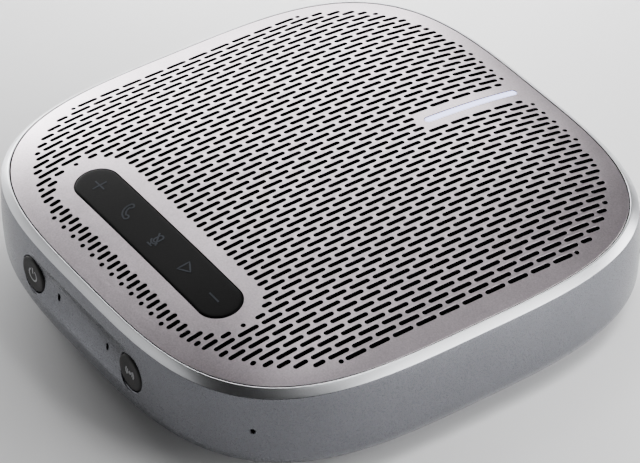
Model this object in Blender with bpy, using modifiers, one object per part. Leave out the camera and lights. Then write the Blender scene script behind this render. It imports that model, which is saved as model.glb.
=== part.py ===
"""A square conference speakerphone, as separate pieces in their assembled places.

X runs along the key strip, -Y is the front wall with the two round buttons, +Z is up.
The origin is on the table under the middle. Lengths here are millimetres, and MM turns
them into Blender's metres.
"""

import math

import bmesh
import bpy

MM = 0.001
GAP = 0.3

# Driving dimensions
BODY_HALF = 60.0
HEIGHT = 30.0
WIDEST_HEIGHT = 9.2
BODY_EXPONENT = 3.25
TOP_EXPONENT = 3.5
CROWN = 4.55
PLATE_HALF = 56.8
PLATE_THICK = 1.2
GROOVE = 0.4
RIM = 0.25
CHAMFER = 1.45
CURL_ACROSS = 13.0
CURL_DOWN = 7.3
WALL_INSIDE = 56.4
LEDGE_HEIGHT = 22.8
COVER_HALF = 50.7
COVER_BOTTOM = 1.5
COVER_TOP = 3.3
FOOT_HALF = 46.0
FOOT_WIDTH = 4.0

STRIP_Y = -39.8
STRIP_LENGTH = 56.8
STRIP_WIDTH = 9.5
STRIP_RECESS = 0.5
KEY_PITCH = STRIP_LENGTH / 5
BAR_LENGTH = 24.2
BAR_WIDTH = 1.7
BAR_Y = 40.2

BUTTON_X = 19.3
BUTTON_Z = 15.6
BUTTON_RADIUS = 4.1
BUTTON_FACE_Y = -59.2
SLIT_X = 9.6
SCOOP = (32.2, 6.0, 6.8)
SCOOP_DEPTH = 1.8

WEB_BOTTOM = 20.5
WEB_TOP = 22.3
POST = 30.0
SPEAKER_HOLE = 25.5
SPEAKER_SCREW = 20.1
BOARD_BOTTOM = 6.2
BOARD_TOP = 7.2
USB_Z = 9.1
BOARD_SCREWS = ((-18.0, -23.0), (18.0, 44.5))
CLEAR_HOLE = 1.35

OUTLINE_STEPS = 56
TURNED_STEPS = 24

KEYS = ("key_volume_up", "key_call", "key_mute", "key_play", "key_volume_down")
CORNERS = {"front_left": 225, "front_right": 315, "back_right": 45, "back_left": 135}

FINISHES = {
    "plate": ((0.52, 0.49, 0.50), 0.42, 0.9),
    "housing": ((0.33, 0.34, 0.36), 0.40, 0.9),
    "steel": ((0.55, 0.55, 0.56), 0.35, 1.0),
    "ferrite": ((0.05, 0.05, 0.055), 0.60, 0.0),
    "copper": ((0.72, 0.36, 0.20), 0.35, 1.0),
    "black_silicone": ((0.015, 0.015, 0.016), 0.62, 0.0),
    "black_plastic": ((0.03, 0.03, 0.032), 0.55, 0.0),
    "button_plastic": ((0.05, 0.05, 0.05), 0.50, 0.0),
    "diffuser": ((0.88, 0.88, 0.92), 0.35, 0.0),
    "circuit_board": ((0.02, 0.16, 0.07), 0.45, 0.0),
    "cloth": ((0.01, 0.01, 0.01), 0.95, 0.0),
    "paper": ((0.06, 0.06, 0.065), 0.80, 0.0),
    "rubber": ((0.04, 0.04, 0.04), 0.85, 0.0),
    "foam": ((0.10, 0.10, 0.11), 0.95, 0.0),
    "battery_film": ((0.12, 0.20, 0.42), 0.40, 0.0),
}


# Collections, materials and joining

def fresh_collection(name):
    collection = bpy.data.collections.new(name)
    bpy.context.scene.collection.children.link(collection)
    return collection


def material_for(name, finish):
    colour, roughness, metallic = FINISHES[finish]
    material = bpy.data.materials.new(name)
    material.use_nodes = True
    shader = material.node_tree.nodes["Principled BSDF"]
    shader.inputs["Base Color"].default_value = (*colour, 1.0)
    shader.inputs["Roughness"].default_value = roughness
    shader.inputs["Metallic"].default_value = metallic
    return material


def add_object(name, mesh, finish, location=(0, 0, 0)):
    """Finish None makes a tool, which other pieces are cut or joined with."""
    piece = bpy.data.objects.new(name, mesh)
    piece.location = [value * MM for value in location]
    if finish is None:
        TOOLS.objects.link(piece)
        piece.hide_render = True
        piece.display_type = "WIRE"
    else:
        PARTS.objects.link(piece)
        mesh.materials.append(material_for(name, finish))
    return piece


def shape(piece, tool, operation="DIFFERENCE"):
    modifier = piece.modifiers.new(tool.name, "BOOLEAN")
    modifier.operation = operation
    modifier.object = tool


def smooth(mesh, sharp_angle=35):
    mesh.shade_smooth()
    mesh.set_sharp_from_angle(angle=math.radians(sharp_angle))


# Shapes

def squircle(half, exponent):
    points = []
    for step in range(OUTLINE_STEPS):
        angle = 2 * math.pi * step / OUTLINE_STEPS
        across, along = math.cos(angle), math.sin(angle)
        reach = abs(across) ** exponent + abs(along) ** exponent
        radius = half / reach ** (1 / exponent)
        points.append((radius * across, radius * along))
    return points


def loft(name, finish, sections, ring=False):
    """A solid through rings of (half width, height, exponent), or a closed ring of them."""
    build = bmesh.new()
    loops = []
    for half, height, exponent in sections:
        outline = squircle(half, exponent)
        loops.append([build.verts.new((x * MM, y * MM, height * MM)) for x, y in outline])
    neighbours = list(zip(loops, loops[1:]))
    if ring:
        neighbours.append((loops[-1], loops[0]))
    else:
        build.faces.new(loops[0])
        build.faces.new(loops[-1])
    for first, second in neighbours:
        for i in range(OUTLINE_STEPS):
            j = (i + 1) % OUTLINE_STEPS
            build.faces.new((first[i], first[j], second[j], second[i]))
    bmesh.ops.recalc_face_normals(build, faces=build.faces)
    mesh = bpy.data.meshes.new(name)
    build.to_mesh(mesh)
    build.free()
    smooth(mesh)
    return add_object(name, mesh, finish)


def crown_height(share):
    """Height of the plate's outer face at this share of its half width."""
    return HEIGHT - CROWN * (share**2 + share**4) / 2


def crowned(name, finish, half, drop, shares, thickness=None, floor=None):
    """A piece whose top follows the crown, `drop` below it, with a parallel or a flat underside."""
    top = []
    for share in shares:
        reach = share * half
        top.append((reach, crown_height(reach / PLATE_HALF) - drop, TOP_EXPONENT))
    if thickness is None:
        under = [(top[-1][0], floor, TOP_EXPONENT)]
    else:
        under = [(reach, height - thickness, exponent) for reach, height, exponent in top]
    return loft(name, finish, under + top[::-1])


def stadium(length, width, left=None, right=None):
    """Outline of a stadium along X, or of the stretch of it from left to right."""
    radius = width / 2
    straight = length / 2 - radius
    points = []
    for side, end in ((1, right), (-1, left)):
        if end is None:
            for step in range(13):
                angle = math.radians(-90 + 15 * step)
                x = straight + radius * math.cos(angle)
                points.append((side * x, side * radius * math.sin(angle)))
        else:
            points += [(end, -side * radius), (end, side * radius)]
    return points


def flat(name, finish, outline, bottom, top, location=(0, 0)):
    """An outline in the XY plane made thick, from a filled 2D curve."""
    curve = bpy.data.curves.new(name, "CURVE")
    curve.dimensions = "2D"
    curve.fill_mode = "BOTH"
    curve.extrude = (top - bottom) / 2 * MM
    spline = curve.splines.new("POLY")
    spline.points.add(len(outline) - 1)
    for point, (x, y) in zip(spline.points, outline):
        point.co = (x * MM, y * MM, 0, 1)
    spline.use_cyclic_u = True
    drawn = bpy.data.objects.new(name + "_outline", curve)
    TOOLS.objects.link(drawn)
    graph = bpy.context.evaluated_depsgraph_get()
    mesh = bpy.data.meshes.new_from_object(drawn.evaluated_get(graph))
    bpy.data.objects.remove(drawn)
    bpy.data.curves.remove(curve)
    build = bmesh.new()
    build.from_mesh(mesh)
    bmesh.ops.remove_doubles(build, verts=build.verts, dist=0.001 * MM)
    bmesh.ops.recalc_face_normals(build, faces=build.faces)
    build.to_mesh(mesh)
    build.free()
    smooth(mesh)
    return add_object(name, mesh, finish, (*location, (top + bottom) / 2))


def turned(name, finish, profile, location=(0, 0, 0), ring=False, steps=TURNED_STEPS):
    """A profile of (radius, height), down its outer side, turned about Z."""
    mesh = bpy.data.meshes.new(name)
    points = [(radius * MM, 0, height * MM) for radius, height in profile]
    edges = [(i, i + 1) for i in range(len(points) - 1)]
    if ring:
        edges.append((len(points) - 1, 0))
    mesh.from_pydata(points, edges, [])
    piece = add_object(name, mesh, finish, location)
    screw = piece.modifiers.new("turn", "SCREW")
    screw.steps = steps
    screw.render_steps = steps
    screw.use_merge_vertices = True
    screw.merge_threshold = 0.00001
    screw.use_smooth_shade = True
    return piece


def tube(name, finish, inner, outer, bottom, top, location=(0, 0, 0), steps=TURNED_STEPS):
    profile = [(outer, top), (outer, bottom), (inner, bottom), (inner, top)]
    return turned(name, finish, profile, location, ring=True, steps=steps)


def rod(name, finish, radius, bottom, top, location=(0, 0, 0), steps=14):
    profile = [(0, top), (radius, top), (radius, bottom), (0, bottom)]
    return turned(name, finish, profile, location, steps=steps)


def box(name, finish, low, high, bevel=0.0):
    """A block between two corners, its edges rounded by `bevel`."""
    build = bmesh.new()
    bmesh.ops.create_cube(build, size=1)
    size = [(b - a) * MM for a, b in zip(low, high)]
    bmesh.ops.scale(build, vec=size, verts=build.verts)
    mesh = bpy.data.meshes.new(name)
    build.to_mesh(mesh)
    build.free()
    piece = add_object(name, mesh, finish, [(a + b) / 2 for a, b in zip(low, high)])
    if bevel:
        rounding = piece.modifiers.new("rounding", "BEVEL")
        rounding.width = bevel * MM
        rounding.segments = 2
        mesh.shade_smooth()
    return piece


def face_front(piece):
    """Turns a piece's +Z to the front."""
    piece.rotation_euler = (math.radians(90), 0, 0)
    return piece


# Shell

def housing_sections():
    """Rings down the outside from the rim by the plate, and up the inside again."""
    lip = PLATE_HALF + GROOVE
    rim_height = HEIGHT - CROWN
    wall_top = rim_height - CHAMFER
    wall_top_half = lip + RIM + CHAMFER
    outer = [(lip + RIM, rim_height)]
    for step in range(5):
        share = step / 4
        half = BODY_HALF - (BODY_HALF - wall_top_half) * (1 - share) ** 2
        outer.append((half, wall_top - (wall_top - WIDEST_HEIGHT) * share))
    for angle in (18, 36, 50, 62, 72):
        half = BODY_HALF - CURL_ACROSS * (1 - math.cos(math.radians(angle)))
        outer.append((half, WIDEST_HEIGHT - CURL_DOWN * math.sin(math.radians(angle))))
    cover_seat = COVER_TOP + GAP
    inner = [
        (COVER_HALF + GAP, cover_seat),
        (COVER_HALF - 2.5, cover_seat),
        (COVER_HALF - 2.5, cover_seat + 1.4),
        (WALL_INSIDE - 4.0, cover_seat + 1.8),
        (WALL_INSIDE - 1.0, WIDEST_HEIGHT - 1.2),
        (WALL_INSIDE, WIDEST_HEIGHT + 1.0),
        (WALL_INSIDE, LEDGE_HEIGHT),
        (lip, LEDGE_HEIGHT),
        (lip, rim_height),
    ]
    sections = []
    for half, height in outer + inner:
        share = min(max((wall_top - height) / (wall_top - WIDEST_HEIGHT), 0), 1)
        sections.append((half, height, TOP_EXPONENT + (BODY_EXPONENT - TOP_EXPONENT) * share))
    return sections


def make_housing():
    housing = loft("housing", "housing", housing_sections(), ring=True)

    scoop = bmesh.new()
    bmesh.ops.create_uvsphere(scoop, u_segments=44, v_segments=22, radius=1)
    bmesh.ops.scale(scoop, vec=[radius * MM for radius in SCOOP], verts=scoop.verts)
    scoop_mesh = bpy.data.meshes.new("scoop")
    scoop.to_mesh(scoop_mesh)
    scoop.free()
    scoop_y = SCOOP_DEPTH - BODY_HALF - SCOOP[1]
    shape(housing, add_object("scoop", scoop_mesh, None, (0, scoop_y, BUTTON_Z)))

    for side, label in ((-1, "power"), (1, "pairing")):
        place = (side * BUTTON_X, -53, BUTTON_Z)
        hole = face_front(rod(label + "_hole", None, BUTTON_RADIUS + GAP, -2, 10, place, 36))
        pocket_radius = BUTTON_RADIUS + 1.2
        pocket = face_front(rod(label + "_pocket", None, pocket_radius, -2, 3.9, place, 36))
        slit = face_front(flat(label + "_slit", None, stadium(1.8, 0.7), -5, 5))
        slit.location = (side * SLIT_X * MM, -58 * MM, BUTTON_Z * MM)
        slit.rotation_euler = (math.radians(90), math.radians(90), 0)
        for tool in (hole, pocket, slit):
            shape(housing, tool)

    for label, angle in CORNERS.items():
        hole = rod("mic_hole_" + label, None, 0.6, 58, 75, (0, 0, BUTTON_Z), 12)
        hole.rotation_euler = (0, math.radians(90), math.radians(angle))
        shape(housing, hole)

    socket = face_front(flat("usb_hole", None, stadium(9.6, 3.8), -6, 6))
    socket.location = (0, 57 * MM, USB_Z * MM)
    shape(housing, socket)


def make_grille_plate():
    shares = (0.04, 0.3, 0.52, 0.7, 0.85, 0.95, 1.0)
    plate = crowned("grille_plate", "plate", PLATE_HALF, 0, shares, thickness=PLATE_THICK)
    strip = stadium(STRIP_LENGTH + 2 * GAP, STRIP_WIDTH + 2 * GAP)
    shape(plate, flat("strip_opening", None, strip, 20, 35, (0, STRIP_Y)))
    bar = flat("bar_opening", None, stadium(BAR_LENGTH + GAP, BAR_WIDTH + GAP), 20, 35, (0, BAR_Y))
    bar.rotation_euler = (0, 0, math.radians(90))
    shape(plate, bar)


def make_acoustic_cloth():
    shares = (0.04, 0.42, 0.72, 1.0)
    drop = PLATE_THICK + GAP
    cloth = crowned("acoustic_cloth", "cloth", PLATE_HALF - 1.4, drop, shares, thickness=0.25)
    strip = stadium(STRIP_LENGTH + 4 * GAP, STRIP_WIDTH + 4 * GAP)
    shape(cloth, flat("cloth_strip_opening", None, strip, 20, 35, (0, STRIP_Y)))
    bar = stadium(BAR_LENGTH + 2 * GAP, BAR_WIDTH + 2 * GAP)
    bar_tool = flat("cloth_bar_opening", None, bar, 20, 35, (0, BAR_Y))
    bar_tool.rotation_euler = (0, 0, math.radians(90))
    shape(cloth, bar_tool)


def make_bottom_cover():
    edge = [(COVER_HALF - 0.4, COVER_BOTTOM), (COVER_HALF, COVER_BOTTOM + 0.4), (COVER_HALF, COVER_TOP)]
    cover = loft("bottom_cover", "black_plastic", [(*ring, BODY_EXPONENT) for ring in edge])
    for x in (-POST, POST):
        for y in (-POST, POST):
            label = f"cover_{'left' if x < 0 else 'right'}_{'front' if y < 0 else 'back'}"
            shape(cover, rod(label + "_boss", None, 3.5, 3.0, 4.9, (x, y, 0)), "UNION")
            shape(cover, rod(label + "_hole", None, CLEAR_HOLE, 0, 8, (x, y, 0)))
            shape(cover, rod(label + "_recess", None, 2.7, 0, 3.0, (x, y, 0)))
    for x, y in BOARD_SCREWS:
        label = f"board_{'left' if x < 0 else 'right'}"
        shape(cover, rod(label + "_boss", None, 2.8, 3.0, 5.9, (x, y, 0)), "UNION")
        shape(cover, rod(label + "_hole", None, CLEAR_HOLE, 2.7, 8, (x, y, 0)))


def make_foot_ring():
    inside = FOOT_HALF - FOOT_WIDTH
    sections = [
        (FOOT_HALF - 0.5, 1.2),
        (FOOT_HALF, 0.8),
        (FOOT_HALF - 0.3, 0.0),
        (inside + 0.3, 0.0),
        (inside, 0.8),
        (inside + 0.5, 1.2),
    ]
    loft("foot_ring", "rubber", [(*ring, BODY_EXPONENT) for ring in sections], ring=True)


def make_baffle():
    rim_bottom = LEDGE_HEIGHT + GAP
    rim_half = PLATE_HALF + GROOVE - GAP
    sections = [
        (2.0, WEB_BOTTOM),
        (WALL_INSIDE - 2.8, WEB_BOTTOM),
        (WALL_INSIDE - GAP, WEB_BOTTOM + 1.1),
        (WALL_INSIDE - GAP, rim_bottom),
        (rim_half, rim_bottom),
        (rim_half, rim_bottom + 0.8),
        (WALL_INSIDE - 2.4, rim_bottom + 0.8),
        (WALL_INSIDE - 2.8, WEB_TOP),
        (2.0, WEB_TOP),
    ]
    baffle = loft("baffle", "black_plastic", [(*ring, TOP_EXPONENT) for ring in sections])
    shape(baffle, rod("speaker_hole", None, SPEAKER_HOLE, 15, 30, steps=TURNED_STEPS))
    for x in (-1, 1):
        for y in (-1, 1):
            label = f"baffle_{'left' if x < 0 else 'right'}_{'front' if y < 0 else 'back'}"
            post = (x * POST, y * POST, 0)
            shape(baffle, rod(label + "_post", None, 3.2, 5.2, 21.0, post), "UNION")
            shape(baffle, rod(label + "_post_hole", None, CLEAR_HOLE, 2, 13.0, post))
            screw = (x * SPEAKER_SCREW, y * SPEAKER_SCREW, 0)
            shape(baffle, rod(label + "_hole", None, CLEAR_HOLE, 15, 30, screw))
    for x in (-24, 24):
        support = rod(f"key_board_support_{x}", None, 2.5, 21.5, 23.0, (x, STRIP_Y, 0))
        shape(baffle, support, "UNION")
    for y in (BAR_Y - 9.5, BAR_Y + 9.5):
        support = rod(f"light_board_support_{y}", None, 2.0, 21.5, 22.6, (0, y, 0))
        shape(baffle, support, "UNION")


# Key strip and light bar

def make_keys():
    shares = (0.04, 0.3, 0.52, 0.7, 0.85, 1.0)
    crown = crowned("key_crown", None, PLATE_HALF, STRIP_RECESS, shares, floor=15)
    end = STRIP_LENGTH / 2
    for index, name in enumerate(KEYS):
        middle = (index - 2) * KEY_PITCH
        left = None if index == 0 else middle - (KEY_PITCH - GAP) / 2
        right = None if index == len(KEYS) - 1 else middle + (KEY_PITCH - GAP) / 2
        outline = stadium(STRIP_LENGTH, STRIP_WIDTH, left, right)
        outline = [(x - middle, y) for x, y in outline]
        key = flat(name, "black_silicone", outline, 26.2, 30, (middle, STRIP_Y))
        shape(key, crown, "INTERSECT")
        plunger = rod(name + "_plunger", None, 1.5, 25.65, 26.6, (middle, STRIP_Y, 0), 16)
        shape(key, plunger, "UNION")
        dome = [(0, 24.95), (1.3, 24.87), (2.6, 24.6), (2.3, 24.6), (0, 24.8)]
        turned(name.replace("key", "snap_dome"), "steel", dome, (middle, STRIP_Y, 0), steps=12)
    box("key_board", "circuit_board", (-end, STRIP_Y - 5.8, 23.3), (end, STRIP_Y + 5.6, 24.3))


def make_light_bar():
    shares = (0.04, 0.3, 0.52, 0.7, 0.85, 0.95, 1.0)
    crown = crowned("light_crown", None, PLATE_HALF, 0.05, shares, floor=15)
    guide = flat("light_guide", "diffuser", stadium(BAR_LENGTH, BAR_WIDTH), 24.2, 30, (0, BAR_Y))
    guide.rotation_euler = (0, 0, math.radians(90))
    shape(guide, crown, "INTERSECT")
    half = BAR_LENGTH / 2
    box("light_board", "circuit_board", (-4, BAR_Y - half + 0.2, 22.9), (4, BAR_Y + half, 23.9))


# Front buttons

def make_front_buttons():
    radius, flange = BUTTON_RADIUS, BUTTON_RADIUS + 0.7
    cap = [(0, 0.1), (2.6, 0.05), (radius - 0.3, -0.12), (radius, -0.4), (radius, -2.8)]
    profile = cap + [(flange, -2.8), (flange, -3.6), (0, -3.6)]
    for side, label in ((-1, "power"), (1, "pairing")):
        x = side * BUTTON_X
        place = (x, BUTTON_FACE_Y, BUTTON_Z)
        face_front(turned(label + "_button", "button_plastic", profile, place))
        low = (x - 2.5, -54.5, BUTTON_Z - 2.5)
        switch = box(label + "_switch", "steel", low, (x + 2.5, -53.9, BUTTON_Z + 2.5))
        nub = rod(label + "_nub", None, 1.2, -0.2, 0.6, (x, -54.3, BUTTON_Z), 12)
        shape(switch, face_front(nub), "UNION")
        pipe_low = (side * SLIT_X - 1.2, -56.0, BUTTON_Z - 1.5)
        pipe_high = (side * SLIT_X + 1.2, -54.6, BUTTON_Z + 1.5)
        box(label + "_light_pipe", "diffuser", pipe_low, pipe_high)
    box("side_board", "circuit_board", (-26, -53.6, 10.5), (26, -52.6, 20.1))


# Microphones

def make_microphones():
    for label, angle in CORNERS.items():
        corner = bpy.data.objects.new("mic_corner_" + label, None)
        PARTS.objects.link(corner)
        corner.location = (0, 0, BUTTON_Z * MM)
        corner.rotation_euler = (0, math.radians(90), math.radians(angle))
        gasket = tube("mic_gasket_" + label, "rubber", 0.8, 3.0, 61.9, 64.3, steps=12)
        board = rod("mic_board_" + label, "circuit_board", 4.6, 60.7, 61.6)
        capsule = box("mic_capsule_" + label, None, (-1.3, -1.8, 59.3), (1.3, 1.8, 60.9))
        shape(board, capsule, "UNION")
        for piece in (gasket, board, capsule):
            piece.parent = corner


# Loudspeaker

def make_loudspeaker():
    basket_profile = [
        (26.8, 23.8), (26.8, 22.6), (25.0, 22.6), (14.5, 13.6), (7.6, 13.6),
        (7.6, 14.6), (13.9, 14.6), (22.8, 22.4), (22.8, 23.8),
    ]
    basket = turned("speaker_basket", "black_plastic", basket_profile, ring=True)
    for angle in (0, 60, 120):
        window = rod(f"basket_window_{angle}", None, 2.6, -30, 30, (0, 0, 18.2), 10)
        window.rotation_euler = (math.radians(90), 0, math.radians(angle))
        shape(basket, window)
    for x in (-SPEAKER_SCREW, SPEAKER_SCREW):
        for y in (-SPEAKER_SCREW, SPEAKER_SCREW):
            label = f"speaker_{'left' if x < 0 else 'right'}_{'front' if y < 0 else 'back'}"
            shape(basket, rod(label + "_ear", None, 3.4, 22.6, 23.8, (x, y, 0)), "UNION")
            shape(basket, rod(label + "_hole", None, CLEAR_HOLE, 20, 26, (x, y, 0)))
            make_screw(label + "_screw", (x, y), bearing=24.1, length=4.5)

    tube("speaker_top_plate", "steel", 6.6, 12.5, 11.8, 13.3)
    tube("speaker_magnet", "ferrite", 7.5, 13.5, 9.3, 11.5)
    yoke = [(0, 13.3), (5.0, 13.3), (5.0, 9.0), (12.5, 9.0), (12.5, 7.8), (0, 7.8)]
    turned("speaker_yoke", "steel", yoke)
    tube("voice_coil", "copper", 5.5, 6.1, 10.4, 16.8)
    cone = [(20.8, 22.9), (20.8, 22.4), (6.4, 16.0), (6.4, 16.5)]
    turned("speaker_cone", "paper", cone, ring=True)
    cap = [(0, 19.2), (3.6, 18.7), (6.9, 17.1), (6.4, 17.1), (3.4, 18.3), (0, 18.8)]
    turned("dust_cap", "paper", cap)
    turned("speaker_spider", "cloth", spider_profile(), ring=True)
    turned("speaker_surround", "rubber", surround_profile(), ring=True)


def surround_profile():
    """A half roll between a lip on the cone and a lip on the basket."""
    middle, radius, thick = 22.9, 1.75, 0.4
    upper, lower = [], []
    for angle in range(0, 181, 45):
        turn = math.radians(angle)
        lift = 24.1 - 0.85 * angle / 180
        upper.append((middle + radius * math.cos(turn), lift + radius * math.sin(turn) + thick))
        inner = radius - thick
        lower.append((middle + inner * math.cos(turn), lift + inner * math.sin(turn)))
    lip_out, lip_in = (26.2, 24.5), (19.8, 23.65)
    under_in, under_out = (19.8, 23.25), (26.2, 24.1)
    return [under_out] + lower + [under_in, lip_in] + upper[::-1] + [lip_out]


def spider_profile():
    """A corrugated disc between the voice coil and the basket."""
    upper, lower = [], []
    waves, thick = 2, 0.3
    for step in range(4 * waves + 1):
        share = step / (4 * waves)
        radius = 6.4 + 7.0 * share
        height = 15.2 + 0.25 * math.sin(2 * math.pi * waves * share)
        upper.append((radius, height + thick))
        lower.append((radius, height))
    return lower[::-1] + upper


# Boards, battery and fasteners

def make_screw(name, place, bearing, length, upside_down=False):
    """A pan-head screw whose head bears at this height, its shank pointing down."""
    profile = [(0, 1.0), (1.6, 1.0), (2.2, 0.6), (2.2, 0), (1.0, 0), (1.0, -length), (0, -length)]
    screw = turned(name, "steel", profile, (*place, bearing), steps=10)
    if upside_down:
        screw.rotation_euler = (math.radians(180), 0, 0)


def make_main_board():
    board = box("main_board", "circuit_board", (-22, -27, BOARD_BOTTOM), (22, 51.4, BOARD_TOP))
    for x, y in BOARD_SCREWS:
        side = "left" if x < 0 else "right"
        shape(board, rod(f"main_board_{side}_hole", None, CLEAR_HOLE, 5, 9, (x, y, 0)))
        make_screw(f"board_{side}_screw", (x, y), bearing=BOARD_TOP + GAP, length=4.0)

    can_bottom = BOARD_TOP + GAP
    can = box("shield_can", "steel", (-18, 28, can_bottom), (8, 43, can_bottom + 2.2))
    shape(can, box("can_inside", None, (-17.7, 28.3, can_bottom - 1), (7.7, 42.7, can_bottom + 1.9)))

    usb = face_front(flat("usb_receptacle", "steel", stadium(9.0, 3.2), -3.8, 3.8))
    usb.location = (0, 54.6 * MM, USB_Z * MM)
    mouth = face_front(flat("usb_mouth", None, stadium(8.4, 2.6), -3.5, 3.5))
    mouth.location = (0, 55.6 * MM, USB_Z * MM)
    shape(usb, mouth)
    shape(usb, box("usb_tongue", None, (-3.3, 51.5, USB_Z - 0.35), (3.3, 57.4, USB_Z + 0.35)), "UNION")


def make_battery():
    box("battery", "battery_film", (-25, -48.6, 7.0), (25, -31.4, 14.4), bevel=1.2)
    box("battery_pad", "foam", (-21, -45.5, COVER_TOP + GAP), (21, -34.5, 6.7))


def make_cover_screws():
    for x in (-POST, POST):
        for y in (-POST, POST):
            label = f"cover_{'left' if x < 0 else 'right'}_{'front' if y < 0 else 'back'}_screw"
            make_screw(label, (x, y), bearing=2.7, length=9.0, upside_down=True)


for leftover in list(bpy.data.objects):
    bpy.data.objects.remove(leftover)
PARTS = fresh_collection("conference_speakerphone")
TOOLS = fresh_collection("cutters")

make_housing()
make_grille_plate()
make_acoustic_cloth()
make_bottom_cover()
make_foot_ring()
make_baffle()
make_keys()
make_light_bar()
make_front_buttons()
make_microphones()
make_loudspeaker()
make_main_board()
make_battery()
make_cover_screws()
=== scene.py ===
"""The looks of a square conference speakerphone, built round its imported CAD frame.

X runs along the key strip, -Y is the front wall with the two round buttons, +Z is up.
Shapes are worked out in millimetres, and MM turns them into metres.
"""

import math

import bmesh
import bpy
from mathutils import Matrix, Vector
from mathutils.geometry import delaunay_2d_cdt


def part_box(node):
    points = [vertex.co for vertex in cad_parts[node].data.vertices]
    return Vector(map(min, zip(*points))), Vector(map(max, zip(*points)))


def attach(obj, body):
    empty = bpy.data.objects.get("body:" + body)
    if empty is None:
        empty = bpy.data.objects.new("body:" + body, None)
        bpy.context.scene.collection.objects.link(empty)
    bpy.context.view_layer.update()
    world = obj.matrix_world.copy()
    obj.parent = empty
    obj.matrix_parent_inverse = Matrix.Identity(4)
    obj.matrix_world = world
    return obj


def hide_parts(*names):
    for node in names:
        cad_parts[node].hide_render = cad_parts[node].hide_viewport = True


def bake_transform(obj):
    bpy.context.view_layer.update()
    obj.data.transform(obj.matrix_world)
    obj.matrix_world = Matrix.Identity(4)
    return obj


MM = 0.001

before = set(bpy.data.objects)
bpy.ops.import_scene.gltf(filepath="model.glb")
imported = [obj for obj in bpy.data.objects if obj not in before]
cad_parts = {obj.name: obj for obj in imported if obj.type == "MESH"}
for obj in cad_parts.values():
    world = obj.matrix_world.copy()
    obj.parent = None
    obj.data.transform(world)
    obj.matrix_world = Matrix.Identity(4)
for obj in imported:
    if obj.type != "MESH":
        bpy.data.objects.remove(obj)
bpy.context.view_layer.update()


def node_box(name):
    """Lowest and highest corner of a CAD node, in millimetres."""
    low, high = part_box(name)
    return [value / MM for value in low], [value / MM for value in high]


# Driving dimensions, from the frame

_, HOUSING_HIGH = node_box("housing")
_, PLATE_HIGH = node_box("grille_plate")
_, COVER_HIGH = node_box("bottom_cover")
BAR_LOW, BAR_HIGH = node_box("light_guide")
POWER_LOW, POWER_HIGH = node_box("power_button")
FIRST_KEY_LOW, FIRST_KEY_HIGH = node_box("key_volume_up")
_, LAST_KEY_HIGH = node_box("key_volume_down")

BODY_HALF = HOUSING_HIGH[0]
TOP = PLATE_HIGH[2]
PLATE_HALF = PLATE_HIGH[0]
RIM_HEIGHT = HOUSING_HIGH[2]
CROWN = TOP - RIM_HEIGHT

# Shape of the body
TOP_EXPONENT = 3.5
BODY_EXPONENT = 3.25
PLATE_THICK = 0.6
PLATE_GROWTH = 0.1
GROOVE = 0.4
RIM = 0.25
CHAMFER = 1.45
WIDEST_HEIGHT = 9.2
CURL_ACROSS = 13.0
CURL_DOWN = 7.3
WALL_INSIDE = 56.4
LEDGE_HEIGHT = 22.8
OUTLINE_STEPS = 480

# Slots of the grille
COLUMN_PITCH = 1.9082
ROW_PITCH = 5.7258
ROW_START = 0.25
SLOT_WIDTH = 1.12
SLOT_LENGTH = 4.96
SLOT_LEAST = 0.5
LAST_COLUMN = 27
FIELD_HALF_X = 54.1
FIELD_HALF_Y = 53.25
FIELD_FLAT = 52.25
FIELD_EXPONENT = 3.27
EDGE_BREAK = 0.03
STRIP_MARGIN = 4.0
BAR_MARGIN = 1.65
BAR_TIP_LIMIT = 51.2
DOT_COLUMNS = (3, 5, 7, 9, 11)
DOT_Y = 52.35
STRIP_TIP_COLUMN = 17
STRIP_STRAIGHT = 24.1

# Key strip, in its opening in the plate
STRIP_Y = (FIRST_KEY_LOW[1] + FIRST_KEY_HIGH[1]) / 2
STRIP_OPENING = (
    LAST_KEY_HIGH[0] - FIRST_KEY_LOW[0] + 0.6,
    FIRST_KEY_HIGH[1] - FIRST_KEY_LOW[1] + 0.6,
)
STRIP_DROP = -0.12  # the strip stands this far above the plate
STRIP_GAP = 0.14
STRIP_ROUND = 0.5
SKIN_DEPTH = 2.2
BEND_HEIGHT = 0.027  # metres; a height inside the skin
PLUNGER_HEIGHT = 0.55
PLUNGER_RADIUS = 1.5
KEY_UNDERSIDE = FIRST_KEY_LOW[2] + PLUNGER_HEIGHT
KEY_PITCH = (LAST_KEY_HIGH[0] - FIRST_KEY_LOW[0]) / 5
KEYS = ("volume_up", "call", "mute", "play", "volume_down")

# Light bar
BAR_Y = (BAR_LOW[1] + BAR_HIGH[1]) / 2
BAR_LENGTH = BAR_HIGH[1] - BAR_LOW[1]
BAR_WIDTH = BAR_HIGH[0] - BAR_LOW[0]
BAR_CLEARANCE = 0.3
BAR_EASE = 0.12
BAR_DROP = 0.04
BAR_DEPTH = 3.0

# Front wall
BUTTON_X = -(POWER_LOW[0] + POWER_HIGH[0]) / 2
BUTTON_Z = (POWER_LOW[2] + POWER_HIGH[2]) / 2
BUTTON_FACE = POWER_LOW[1]
BUTTON_RADIUS = 4.1
BORE_GAP = 0.28
SLIT_X = 9.6
SLIT_SIZE = (1.9, 1.0)
MIC_RADIUS = 0.6
SCOOP_HALF = 23.0
SCOOP_RISE = 4.9
SCOOP_DEPTH = 1.35
SCOOP_Z = 16.1
USB_Z = 9.1
USB_SIZE = (9.6, 3.8)

# Loudspeaker suspension, built in sectors
SUSPENSION_SECTORS = 16


# Materials

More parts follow.
